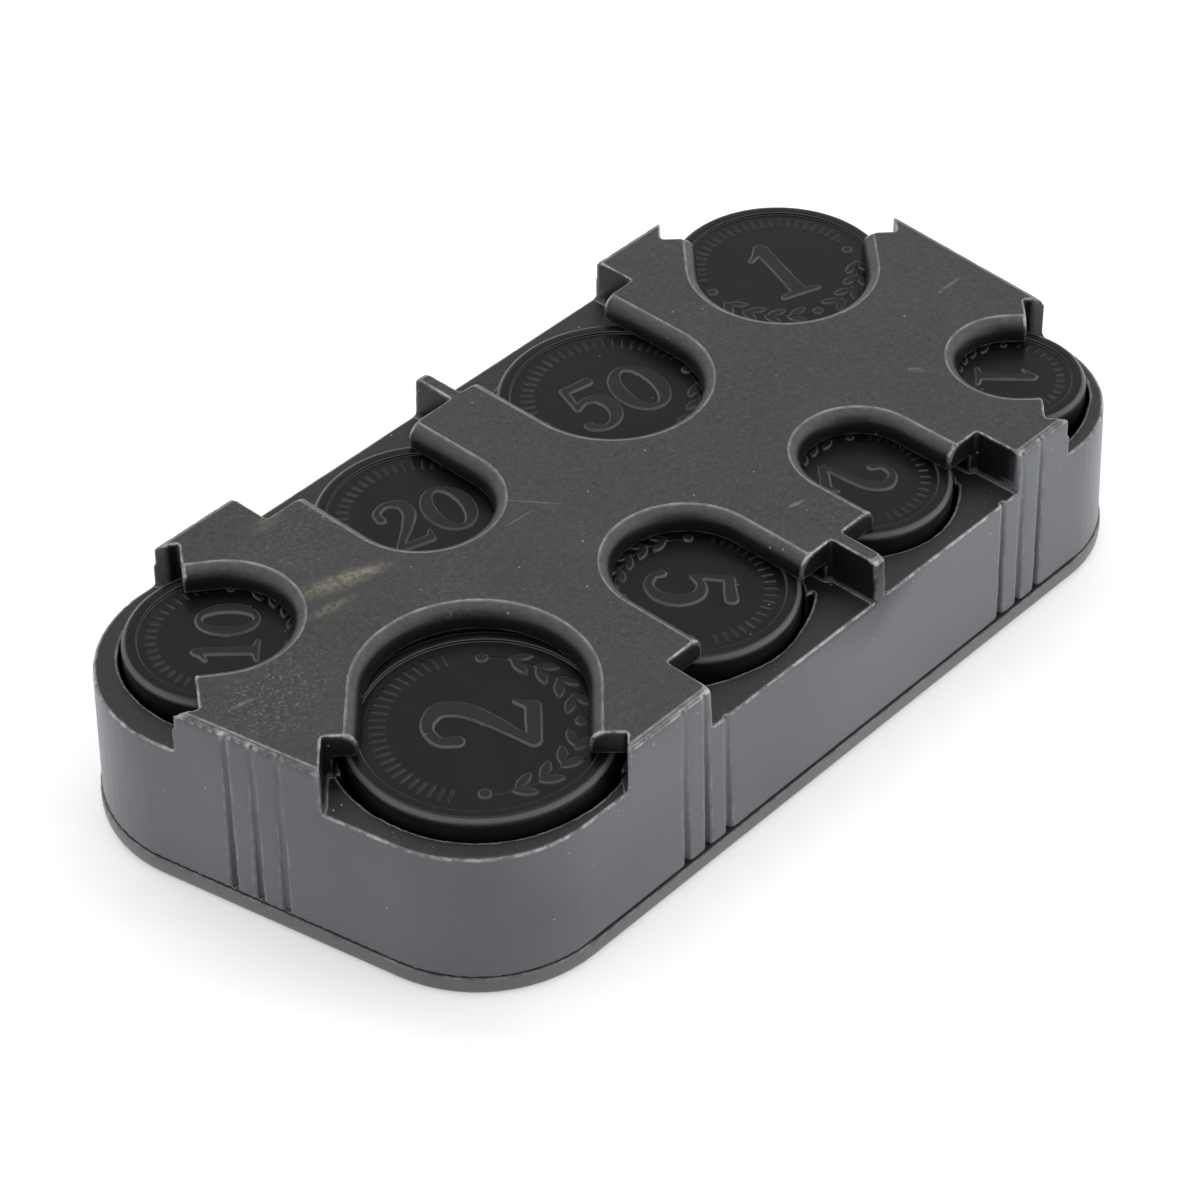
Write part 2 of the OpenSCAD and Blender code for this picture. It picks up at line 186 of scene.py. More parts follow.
class Surface(NodeGraph):
    """Node tree of one material, with its shader and the texture coordinates."""

    def __init__(self, name: str) -> None:
        """Start an empty material.

        Args:
            name: Its name.
        """
        self.material = bpy.data.materials.new(name)
        super().__init__(self.material)
        self.shader = self.add("BsdfPrincipled")
        self.link(self.shader, "BSDF", self.add("OutputMaterial"), "Surface")
        self.coordinates = self.add("TexCoord")

    def set(self, **values: float | Colour) -> None:
        """Set uniform values on the shader, with underscores for the spaces in the socket names."""
        for name, value in values.items():
            self.shader.inputs[name.replace("_", " ")].default_value = value

    def feed(self, socket: str, colour: Node) -> None:
        """Join a colour to a socket of the shader."""
        self.tree.links.new(colour_output(colour), self.shader.inputs[socket])

    def noise(self, kind: Noise) -> Node:
        """Add a noise texture on Object coordinates.

        Args:
            kind: Its pattern.

        Returns:
            The noise node; its first output is the value.
        """
        mapping = self.add("Mapping")
        mapping.inputs["Scale"].default_value = kind.stretch
        self.link(self.coordinates, "Object", mapping, "Vector")
        node = self.add("TexNoise")
        node.inputs["Scale"].default_value = kind.scale
        node.inputs["Detail"].default_value = kind.detail
        node.inputs["Roughness"].default_value = kind.roughness
        self.link(mapping, "Vector", node, "Vector")
        return node

    def ramp(self, source: Node, span: Pair, start: Colour = BLACK, end: Colour = WHITE,
             out: str | int = 0) -> Node:
        """Add a two-stop colour ramp behind a value.

        Args:
            source: Node that gives the value.
            span: Values at the two stops, where a mask starts and is full.
            start: Colour at the first stop.
            end: Colour at the second stop.
            out: Name or number of the source's output.

        Returns:
            The ramp node.
        """
        node = self.add("ValToRGB")
        for stop, place, colour in zip(node.color_ramp.elements, span, (start, end)):
            stop.position = place
            stop.color = colour
        self.link(source, out, node, "Fac")
        return node

    def mask(self, kind: Noise, start: Colour = BLACK, end: Colour = WHITE) -> Node:
        """Ramp behind a noise texture, from one colour to another."""
        return self.ramp(self.noise(kind), kind.span, start, end)

    def reading(self, name: str, span: Pair) -> Node:
        """Mask made of an attribute of the mesh.

        Args:
            name: Its name.
            span: Values at which the mask starts and is full.

        Returns:
            A ramp node.
        """
        node = self.add("Attribute")
        node.attribute_name = name
        return self.ramp(node, span, out="Fac")

    def upright(self, output: str, span: Pair) -> Node:
        """Mask made of the upright part of an output of the texture coordinates.

        Args:
            output: "Normal" tells faces that look up from walls, "Object" high places from low ones.
            span: Upright parts, or heights in metres, at which the mask starts and is full.

        Returns:
            A ramp node.
        """
        parts = self.add("SeparateXYZ")
        self.link(self.coordinates, output, parts, "Vector")
        return self.ramp(parts, span, out="Z")

    def tilted(self, start: Pair, end: Pair) -> Node:
        """Mask of the slopes between two tilts: it rises over the first span and falls over the second."""
        return self.math("SUBTRACT", self.upright("Normal", start), self.upright("Normal", end))

    def specks(self, cells: float, rarity: float, radius: float) -> Node:
        """Add sparse round specks: some cells of a random cell pattern carry one, at their middle.

        Args:
            cells: Cells per metre.
            rarity: Brightness of a cell's own random colour above which it carries a speck.
            radius: Radius of a speck as a share of a cell.

        Returns:
            A math node, 1 on the specks.
        """
        pattern = self.add("TexVoronoi")
        pattern.inputs["Scale"].default_value = cells
        self.link(self.coordinates, "Object", pattern, "Vector")
        near = self.ramp(pattern, (SPECK_CORE * radius, radius), WHITE, BLACK, out="Distance")
        chosen = self.ramp(pattern, (rarity, rarity + SPECK_FADE), out="Color")
        return self.times(near, chosen)

    def length(self, source: Node, out: str) -> Node:
        """Add a node for the length of a vector.

        Args:
            source: Node that gives the vector.
            out: Name of its output.

        Returns:
            The node; its output "Value" is the length.
        """
        node = self.add("VectorMath")
        node.operation = "LENGTH"
        self.link(source, out, node, 0)
        return node

    def spot(self, place: Triple, half_sizes: Triple, angle: float) -> Node:
        """Add a soft ellipse at a place of the object.

        Args:
            place: Its middle in metres.
            half_sizes: Its half length, half width and reach in height, in metres.
            angle: Turn of its length from +X, in radians.

        Returns:
            A ramp node, 1 in the middle and 0 past the edge.
        """
        mapping = self.add("Mapping")
        mapping.vector_type = "TEXTURE"
        mapping.inputs["Location"].default_value = place
        mapping.inputs["Rotation"].default_value = (0, 0, angle)
        mapping.inputs["Scale"].default_value = half_sizes
        self.link(self.coordinates, "Object", mapping, "Vector")
        return self.ramp(self.length(mapping, "Vector"), SPOT_SPAN, WHITE, BLACK, out="Value")

    def mix(self, factor: Node, first: Node | Colour, second: Node | Colour) -> Node:
        """Mix two colours by a factor.

        Args:
            factor: Node whose first output is the factor.
            first: Node or colour at factor 0.
            second: Node or colour at factor 1.

        Returns:
            The mix node.
        """
        node = self.add("Mix")
        node.data_type = "RGBA"
        self.link(factor, 0, node, 0)
        for index, value in zip(MIX_INPUTS, (first, second)):
            if isinstance(value, tuple):
                node.inputs[index].default_value = value
            else:
                self.tree.links.new(colour_output(value), node.inputs[index])
        return node

    def times(self, first: Node | float, second: Node | float) -> Node:
        """Product of two values, held between 0 and 1."""
        return self.math("MULTIPLY", first, second)

    def eased(self, source: Node, share: float, least: float) -> Node:
        """A share of a value plus a least level, so that a mask never fades out entirely."""
        return self.math("ADD", self.times(source, share), least)

    def bump(self, layers: list[tuple[Node, float, float]]) -> None:
        """Stack bump layers and join them to the shader.

        Args:
            layers: Height node, strength and depth in metres of each layer.
        """
        last = None
        for height, strength, depth in layers:
            node = self.add("Bump")
            node.inputs["Strength"].default_value = strength
            node.inputs["Distance"].default_value = depth
            self.link(height, 0, node, "Height")
            if last is not None:
                self.link(last, "Normal", node, "Normal")
            last = node
        self.link(last, "Normal", self.shader, "Normal")


def colour_output(node: Node) -> bpy.types.NodeSocket:
    """Colour output of a node, which is the first one except on a Mix node."""
    return node.outputs[MIX_OUTPUT if node.bl_idname == "ShaderNodeMix" else 0]


def grey(value: float, blue: float = 0.0) -> Colour:
    """Linear grey with a little more blue.

    Args:
        value: Linear level.
        blue: Share by which blue is raised.

    Returns:
        Colour with alpha.
    """
    return (value, value * (1 + blue / 3), value * (1 + blue), 1.0)


@dataclass(frozen=True)
class PlateMark:
    """One mark on the top plate: a soft ellipse of wear, broken up where it is a scuff or pits. The
    pale pits at the near end also paint a sheen.

    Its place and half sizes are in millimetres and its angle is in degrees from +X.
    """

    kind: Mark
    place: Pair
    half_length: float
    half_width: float
    angle: float
    strength: float

    def ellipse(self, graph: Surface) -> Node:
        """Mask of the whole ellipse, at the top of the object.

        Args:
            graph: The material's node graph.

        Returns:
            A ramp node.
        """
        place = (self.place[0] * MM, self.place[1] * MM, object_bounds()[1].z)
        half_sizes = (self.half_length * MM, self.half_width * MM, MARK_REACH)
        return graph.spot(place, half_sizes, math.radians(self.angle))


@dataclass(frozen=True)
class MouldedPlastic:
    """Dark moulded plastic: a grained top, smoother walls, wear, dust, and painted light and shade.

    Levels are linear greys. The fields after the marks are the same for every such plastic: their
    levels and unevenness are shares of the top's or the wall's own, a layer is its strength and
    level, a span or top is where a mask starts and is full, and a bump is its strength and depth.
    The walls are paler partly by their finish and partly as a painted reflection of the floor. The
    inner faces and the low ledges get painted shade, and the lip rolls a painted sheen over scratchy
    wear. The crests get a painted highlight, and so do the convex edges, over their wear.
    """

    name: str
    top_level: float
    # Walls paler than the top, partly by their finish and partly as a painted reflection of the floor
    wall_level: float
    # Painted shade on the faces inside the holder
    inner_shade_level: float
    blue: float
    top_roughness: float
    wall_roughness: float
    edge_roughness: float
    specular: float
    grain_depth: float
    # Painted highlight over real wear on the convex edges
    edge_highlight_level: float
    # Painted highlight on the crests of the lips
    crest_highlight_level: float
    # Painted sheen over scratchy wear on the lip rolls
    roll_wear_sheen_level: float
    dust: float
    marks: tuple[PlateMark, ...] = ()
    cloud_levels: Pair = (0.8, 1.08)
    mottle: Pair = (0.6, 1.9)
    freckles: Pair = (0.5, 2.4)
    # Painted shade on the low ledges, as a share of the top's level
    ledge_shade_level: float = 0.5
    ledge_heights: Pair = (18.2 * MM, 19.4 * MM)
    broad_levels: Pair = (0.82, 1.16)
    veil: Pair = (0.3, 1.25)
    fine_dust: Pair = (0.6, 0.2)
    coarse_level: float = 0.35
    crest_highlight_share: float = 0.8
    top_unevenness: Pair = (0.88, 1.12)
    wall_unevenness: Pair = (0.94, 1.06)
    outer_span: Pair = (0.3, 0.7)
    inner_top: Pair = (0.45, 0.72)
    outer_top: Pair = (0.25, 0.7)
    edge_wear_glint_span: Pair = (0.15, 0.8)
    grain_strength: float = 0.7
    stroke_bump: Pair = (0.8, 0.04 * MM)
    wave_bump: Pair = (0.25, 0.03 * MM)

    def plate(self, graph: Surface, cloud: Node) -> Node:
        """Colour of the faces that look up: clouded, mottled, freckled, and with painted shade on the low
        ledges.

        Args:
            graph: The material's node graph.
            cloud: Mask of the soft clouds.

        Returns:
            A mix node.
        """
        plate = graph.mix(cloud, *(grey(self.top_level * share) for share in self.cloud_levels))
        for pattern, (share, level) in ((MOTTLE, self.mottle), (FRECKLES, self.freckles)):
            plate = graph.mix(graph.times(graph.mask(pattern), share), plate, grey(self.top_level * level))
        # Painted shade on the faces that lie below the plate top
        high = graph.upright("Object", self.ledge_heights)
        return graph.mix(high, grey(self.top_level * self.ledge_shade_level), plate)

    def wall(self, graph: Surface, cloud: Node) -> Node:
        """Colour of the outer walls: blue-grey, with broad soft clouds under a thin paler veil. It is paler
        than the top partly by finish and partly as a painted reflection of the floor.

        Args:
            graph: The material's node graph.
            cloud: Mask of the soft clouds.

        Returns:
            A mix node.
        """
        share, level = self.veil
        dark, pale, veil = (grey(self.wall_level * part, self.blue) for part in (*self.broad_levels, level))
        return graph.mix(graph.times(cloud, share), graph.mix(graph.mask(BROAD), dark, pale), veil)

    def marks_and_dust(self, graph: Surface, base: Node, top: Node) -> Node:
        """Lay the plate marks and the dust over a colour; the fine dust lies on the top alone. The marks
        are wear, and the pale pits at the near end also paint a sheen.

        Args:
            graph: The material's node graph.
            base: Colour below them.
            top: Mask of the faces that look up.

        Returns:
            A mix node.
        """
        broken = {Mark.SCUFF: graph.eased(graph.mask(SCUFFED), share=0.75, least=0.2),
                  Mark.PITS_AND_SHEEN: graph.mask(PITTED)}
        for mark in self.marks:
            mask = mark.ellipse(graph)
            if mark.kind in broken:
                mask = graph.times(mask, broken[mark.kind])
            base = graph.mix(graph.times(mask, mark.strength), base, mark.kind.value)
        share, level = self.fine_dust
        fine = graph.times(graph.specks(*FINE_DUST), graph.times(top, share * self.dust))
        base = graph.mix(fine, base, grey(level))
        coarse = graph.times(graph.specks(*COARSE_DUST), self.dust)
        return graph.mix(coarse, base, grey(self.coarse_level))

    def uneven(self, graph: Surface, top: Node) -> Node:
        """Roughness of the top and the walls, in soft patches.

        Args:
            graph: The material's node graph.
            top: Mask of the faces that look up.

        Returns:
            A mix node.
        """
        patches = graph.mask(UNEVEN)
        wall = graph.mix(patches, *(grey(self.wall_roughness * share) for share in self.wall_unevenness))
        plate = graph.mix(patches, *(grey(self.top_roughness * share) for share in self.top_unevenness))
        return graph.mix(top, wall, plate)

    def make(self) -> Material:
        """Build the material.

        From below to above, the colour has the walls, which are partly a painted reflection, with painted
        shade on the faces inside. Then come the plate, wear and dust, and a painted sheen over the
        scratchy wear of the lips' roll. Last come a painted highlight on its crest and a painted highlight
        over the wear of the convex edges. Over the outer walls the plate's colour reaches further down
        the rounding, so that inside the holder the painted shade reaches further up it.

        Returns:
            The material.
        """
        graph = Surface(self.name)
        graph.set(Specular_IOR_Level=self.specular)
        outer = graph.reading(OUTER, self.outer_span)
        # Inside the holder a face must look further up to get the plate's colour, so the painted shade
        # reaches further up the rounding
        rolled = graph.mix(outer, graph.upright("Normal", self.inner_top),
                           graph.upright("Normal", self.outer_top))
        top = graph.ramp(rolled, (0.0, 1.0), out="Result")
        cloud = graph.mask(CLOUD)
        # Faces inside the holder get painted shade, and the outer walls the wall colour
        sides = graph.mix(outer, grey(self.inner_shade_level), self.wall(graph, cloud))
        base = self.marks_and_dust(graph, graph.mix(top, sides, self.plate(graph, cloud)), top)
        patches = graph.mask(PATCHES)
        # Painted sheen over scratchy wear on the rolls of the lips, chosen by how far their faces tilt
        roll = graph.times(graph.tilted(*ROLL), graph.eased(graph.mask(STREAKS), share=0.75, least=0.25))
        # Painted highlight on the crests, where the plate turns into the lips' roll
        crest = graph.times(graph.tilted(*CREST), graph.eased(patches, share=0.6, least=0.4))
        ridge = graph.eased(graph.tilted(*RIDGE), share=0.8, least=0.2)
        # Painted highlight over real wear on the convex edges that face partly up
        edges = graph.times(graph.reading(EDGE_WEAR_GLINT, self.edge_wear_glint_span), ridge)
        edge_wear_glint = graph.times(edges, graph.eased(patches, share=0.8, least=0.2))
        base = graph.mix(roll, base, grey(self.roll_wear_sheen_level))
        base = graph.mix(graph.times(crest, self.crest_highlight_share), base, grey(self.crest_highlight_level))
        graph.feed("Base Color", graph.mix(edge_wear_glint, base, grey(self.edge_highlight_level)))
        polished = graph.math("MAXIMUM", edges, crest)
        graph.feed("Roughness", graph.mix(polished, self.uneven(graph, top), grey(self.edge_roughness)))
        grain = graph.times(graph.noise(GRAIN), top)
        strokes = graph.times(graph.noise(STROKES), graph.tilted(*SLOPES))
        graph.bump([(grain, self.grain_strength, self.grain_depth), (strokes, *self.stroke_bump),
                    (graph.noise(WAVES), *self.wave_bump)])
        return graph.material


@dataclass(frozen=True)
class EmbossedPlastic:
    """Black pusher plastic: a smooth field, a satin, slightly paler relief, and a painted highlight on
    the slopes of the relief and the rounding of the rim.

    The fields after the edge highlight level are as in the moulded plastic.
    """

    name: str
    field_level: float
    raised_level: float
    field_roughness: float
    raised_roughness: float
    specular: float
    # Painted highlight on the slopes of the relief and the rounding of the rim
    edge_highlight_level: float
    edge_highlight_share: float = 0.85
    cloud_levels: Pair = (0.8, 1.25)
    unevenness: Pair = (0.85, 1.2)
    dust: Pair = (0.5, 0.25)
    raised_span: Pair = (0.35, 0.85)
    grain_bump: Pair = (0.4, 0.006 * MM)
    wave_bump: Pair = (0.2, 0.03 * MM)

    def make(self) -> Material:
        """Build the material.

        Returns:
            The material.
        """
        graph = Surface(self.name)
        graph.set(Specular_IOR_Level=self.specular)
        height = graph.reading(RAISED, self.raised_span)
        field_colour = graph.mix(graph.mask(FIELD_CLOUD),
                                 *(grey(self.field_level * share) for share in self.cloud_levels))
        base = graph.mix(height, field_colour, grey(self.raised_level))
        share, level = self.dust
        base = graph.mix(graph.times(graph.specks(*FIELD_DUST), share), base, grey(level))
        # Painted highlight on the faces that tilt part way: the relief's slopes and the rim's rounding
        edges = graph.times(graph.tilted(*FIELD_EDGES), self.edge_highlight_share)
        graph.feed("Base Color", graph.mix(edges, base, grey(self.edge_highlight_level)))
        uneven = graph.mask(FIELD_UNEVEN, *(grey(self.field_roughness * share) for share in self.unevenness))
        graph.feed("Roughness", graph.mix(height, uneven, grey(self.raised_roughness)))
        graph.bump([(graph.noise(FIELD_GRAIN), *self.grain_bump),
                    (graph.noise(FIELD_WAVES), *self.wave_bump)])
        return graph.material


@dataclass(frozen=True)
class DrawnWire:
    """Bright drawn steel wire, with fine streaks."""

    name: str = "drawn_wire"
    levels: Pair = (0.48, 0.66)
    roughness: Pair = (0.22, 0.36)
    grain_bump: Pair = (0.2, 0.01 * MM)

    def make(self) -> Material:
        """Build the material.

        Returns:
            The material.
        """
        graph = Surface(self.name)
        graph.set(Metallic=1.0)
        graph.feed("Base Color", graph.mask(WIRE_STREAKS, *map(grey, self.levels)))
        graph.feed("Roughness", graph.mask(WIRE_UNEVEN, *map(grey, self.roughness)))
        graph.bump([(graph.noise(WIRE_GRAIN), *self.grain_bump)])
        return graph.material


# Patterns of the moulded plastic
CLOUD = Noise(80, 4, 0.55, (0.35, 0.68))
MOTTLE = Noise(1500, 4, 0.65, (0.38, 0.7))
FRECKLES = Noise(3600, 2, 0.6, (0.48, 0.7))
BROAD = Noise(26, 2, 0.45, (0.36, 0.64))
SCUFFED = Noise(1900, 4, 0.7, (0.42, 0.62))
PITTED = Noise(2600, 3, 0.6, (0.55, 0.68))
PATCHES = Noise(700, 4, 0.7, (0.4, 0.62))
STREAKS = Noise(1100, 4, 0.75, (0.32, 0.66), (1.0, 1.0, 2.5))
UNEVEN = Noise(160, 5, 0.6, (0.3, 0.75))
GRAIN = Noise(4200, 2, 0.6)
STROKES = Noise(2300, 3, 0.7, stretch=(1.0, 1.0, 3.0))
WAVES = Noise(300, 2, 0.5)
# Its specks: cells per metre, rarity and radius
FINE_DUST = (1500, 0.6, 0.13)
COARSE_DUST = (620, 0.62, 0.075)
# Its slopes: upright parts of the normal over which each starts, and over which it ends
# ROLL marks the painted sheen and CREST the painted highlight. RIDGE marks the convex edges that get a
# painted highlight over their wear
ROLL = ((0.6, 0.85), (0.962, 0.985))
CREST = ((0.925, 0.965), (0.977, 0.988))
RIDGE = ((0.3, 0.6), (0.88, 0.96))
SLOPES = ((0.25, 0.7), (0.93, 0.99))
# The same for the pushers' plastic
FIELD_CLOUD = Noise(170, 4, 0.6, (0.35, 0.7))
FIELD_UNEVEN = Noise(240, 5, 0.65, (0.3, 0.75))
FIELD_GRAIN = Noise(3800, 2, 0.6)
FIELD_WAVES = Noise(260, 2, 0.5)
FIELD_DUST = (560, 0.66, 0.07)
# Tilts that get the pushers' painted highlight
FIELD_EDGES = ((0.3, 0.65), (0.9, 0.975))
# Patterns of the wire
WIRE_STREAKS = Noise(900, 3, 0.6, (0.3, 0.7), (1.0, 1.0, 6.0))
WIRE_UNEVEN = Noise(1500, 2, 0.5, (0.3, 0.7))
WIRE_GRAIN = Noise(3000, 2, 0.5)
# Kind, place, half length, half width, angle and strength
PLATE_MARKS = (
    PlateMark(Mark.SCUFF, (-28.4, 9.3), 6.4, 1.5, -18.0, 0.5),
    PlateMark(Mark.SCUFF, (-27.6, 9.2), 4.9, 0.9, -20.8, 0.6),
    PlateMark(Mark.SCUFF, (-31.7, 7.3), 3.4, 0.8, -10.0, 0.4),
    PlateMark(Mark.SCUFF, (-46.0, 3.8), 1.5, 0.35, -14.3, 0.6),
    # Pale pits at the near end, which also paint a sheen there
    PlateMark(Mark.PITS_AND_SHEEN, (-43.5, 2.5), 8.5, 6.0, 20.0, 0.5),
    PlateMark(Mark.PITS_AND_SHEEN, (-27.0, 17.0), 9.0, 6.0, 10.0, 0.25),
    PlateMark(Mark.PITS_AND_SHEEN, (-24.0, -1.0), 9.0, 5.0, 60.0, 0.2),
    PlateMark(Mark.SCUFF, (-27.0, 20.7), 2.6, 1.2, 10.0, 0.25),
    PlateMark(Mark.SCRATCH, (-8.0, 3.8), 3.2, 0.09, -54.0, 0.5),
    PlateMark(Mark.SCRATCH, (-10.8, 3.3), 2.4, 0.08, -4.6, 0.55),
    PlateMark(Mark.SCUFF, (8.3, -14.8), 1.5, 0.3, -14.2, 0.7),
    PlateMark(Mark.SCUFF, (45.3, -3.7), 2.5, 0.28, 0.4, 0.7),
    PlateMark(Mark.SCUFF, (32.2, -10.1), 1.2, 0.5, -57.6, 0.6),
)
# Finishes: the wall level is partly a painted reflection and the inner level painted shade; the roll, crest
# and edge levels are painted sheen and highlights, over real wear on the roll and edges
SHELL_FINISH = MouldedPlastic(
    "shell_plastic", top_level=0.031, wall_level=0.112, inner_shade_level=0.006, blue=0.14,
    top_roughness=0.42, wall_roughness=0.34, edge_roughness=0.24, specular=0.24,
    grain_depth=0.018 * MM, edge_highlight_level=0.45, crest_highlight_level=0.3, roll_wear_sheen_level=0.088, dust=0.8,
    marks=PLATE_MARKS)
BASE_FINISH = MouldedPlastic(
    "base_plastic", top_level=0.055, wall_level=0.12, inner_shade_level=0.03, blue=0.02,
    top_roughness=0.45, wall_roughness=0.38, edge_roughness=0.26, specular=0.35,
    grain_depth=0.016 * MM, edge_highlight_level=0.2, crest_highlight_level=0.1, roll_wear_sheen_level=0.07, dust=0.4)
PUSHER_FINISH = EmbossedPlastic(
    "pusher_plastic", field_level=0.006, raised_level=0.016, field_roughness=0.28,
    raised_roughness=0.36, specular=0.13, edge_highlight_level=0.11)


def show(name: str, data: bpy.types.ID) -> Piece:
    """Put a new object with this mesh, lamp or camera into the scene.

    Args:
        name: Its name.
        data: Its data.

    Returns:
        The object.
    """
    piece = bpy.data.objects.new(name, data)
    bpy.context.scene.collection.objects.link(piece)
    return piece


def dress(piece: Piece, material: Material) -> None:
    """Give a piece one material in every slot.

    Args:
        piece: The object.
        material: Its finish.
    """
    if not piece.data.materials:
        piece.data.materials.append(material)
    for index in range(len(piece.data.materials)):
        piece.data.materials[index] = material


@dataclass
class Studio:
    """Floor, lamps, background and camera.

    Lengths are in metres, angles in degrees, and the pixels are those of a square frame.
    """

    place: Triple = (-203.25 * MM, -188.52 * MM, 246.62 * MM)
    heading: float = 42.143
    dip: float = 40.705
    roll: float = -0.18
    focal_px: float = 3728.8
    frame_px: float = 1200.0
    centre_px: Pair = (657.67, 582.51)
    sensor_mm: float = 36.0
    clip: Pair = (0.01, 20.0)
    sky_colour: Colour = (0.97, 0.985, 1.0, 1.0)
    sky_level: float = 0.5
    floor_reach: float = 3.0
    floor_height: float = -0.02 * MM
    floor_level: float = 0.93
    floor_lift: float = 0.3
    floor_fade: Pair = (0.25, 0.7)
    lamp_reach: float = 0.95
    aim_height: float = 0.01

    def camera(self) -> None:
        """Stand the camera where the photograph was taken from.

        The heading is the angle of the look direction from +X towards +Y, the dip is its angle
        below the horizon, and the shift moves the frame against the optical axis.
        """
        data = bpy.data.cameras.new("camera")
        data.sensor_width = self.sensor_mm
        data.lens = self.focal_px / self.frame_px * self.sensor_mm
        data.shift_x = (self.frame_px / 2 - self.centre_px[0]) / self.frame_px
        data.shift_y = (self.centre_px[1] - self.frame_px / 2) / self.frame_px
        data.clip_start, data.clip_end = self.clip
        turn, down, roll = (math.radians(v) for v in (self.heading, self.dip, self.roll))
        look = Vector((math.cos(turn) * math.cos(down), math.sin(turn) * math.cos(down), -math.sin(down)))
        right = Vector((math.sin(turn), -math.cos(turn), 0.0))
        up = right.cross(look)
        side = right * math.cos(roll) + up * math.sin(roll)
        top = up * math.cos(roll) - right * math.sin(roll)
        axes = Matrix((side, top, -look)).transposed().to_4x4()
        camera = show("camera", data)
        camera.matrix_world = Matrix.Translation(self.place) @ axes
        bpy.context.scene.camera = camera

    def floor(self) -> None:
        """Lay a pale floor that looks white to the camera and keeps the soft shadow.

        Its own light, which only such rays see, is weak near the object and full further out. It
        lies a hair under the object, so that its face doesn't share a plane with the underside.
        """
        mesh = bpy.data.meshes.new("floor")
        corners = [(x * self.floor_reach, y * self.floor_reach, self.floor_height)
                   for x, y in ((-1, -1), (1, -1), (1, 1), (-1, 1))]
        mesh.from_pydata(corners, [], [(0, 1, 2, 3)])
        floor = show("floor", mesh)
        graph = Surface("floor_paper")
        graph.set(Base_Color=grey(self.floor_level), Roughness=0.9, Specular_IOR_Level=0.1,
                  Emission_Color=WHITE)
        way = graph.length(graph.coordinates, "Object")
        far = graph.ramp(way, self.floor_fade, grey(self.floor_lift), out="Value")
        graph.link(graph.times(graph.seen_directly(), far), 0, graph.shader, "Emission Strength")
        dress(floor, graph.material)
        floor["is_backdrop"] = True

    def background(self) -> None:
        """White for camera, glossy and transmission rays, and a plain pale level for the light."""
        world = bpy.data.worlds.new("studio")
        graph = NodeGraph(world)
        mix = graph.add("MixShader")
        graph.link(graph.seen_directly(), 0, mix, "Fac")
        for index, colour, strength in ((1, self.sky_colour, self.sky_level), (2, WHITE, 1.0)):
            shade = graph.add("Background")
            shade.inputs["Color"].default_value = colour
            shade.inputs["Strength"].default_value = strength
            graph.link(shade, 0, mix, index)
        graph.link(mix, 0, graph.add("OutputWorld"), "Surface")
        bpy.context.scene.world = world

    def lamp(self, name: str, heading: float, rise: float, sizes: Pair, power: float) -> None:
        """Hang a flat lamp that points at the holder, with its width level.

        Args:
            name: Its name.
            heading: Where it hangs, in degrees from +X towards +Y.
            rise: Its angle above the horizon, in degrees.
            sizes: Its width and height in metres.
            power: Its power in watts.
        """
        data = bpy.data.lights.new(name, "AREA")
        data.shape = "RECTANGLE"
        data.size, data.size_y = sizes
        data.energy = power
        turn, up = math.radians(heading), math.radians(rise)
        way = Vector((math.cos(turn) * math.cos(up), math.sin(turn) * math.cos(up), math.sin(up)))
        side = Vector((-math.sin(turn), math.cos(turn), 0))
        lamp = show(name, data)
        lamp.location = way * self.lamp_reach + Vector((0, 0, self.aim_height))
        lamp.rotation_euler = Matrix((side, way.cross(side), way)).transposed().to_euler()

    def build(self) -> None:
        """Set the whole studio up: one narrow lamp high over the far side, two large ones beside."""
        self.camera()
        self.floor()
        self.background()
        self.lamp("over", heading=42.5, rise=66.0, sizes=(1.15, 0.16), power=3.2)
        self.lamp("near_end", heading=165.0, rise=20.0, sizes=(1.3, 0.6), power=3.2)
        self.lamp("right_side", heading=300.0, rise=20.0, sizes=(1.3, 0.6), power=5.2)
        bpy.context.scene.view_settings.view_transform = "Standard"


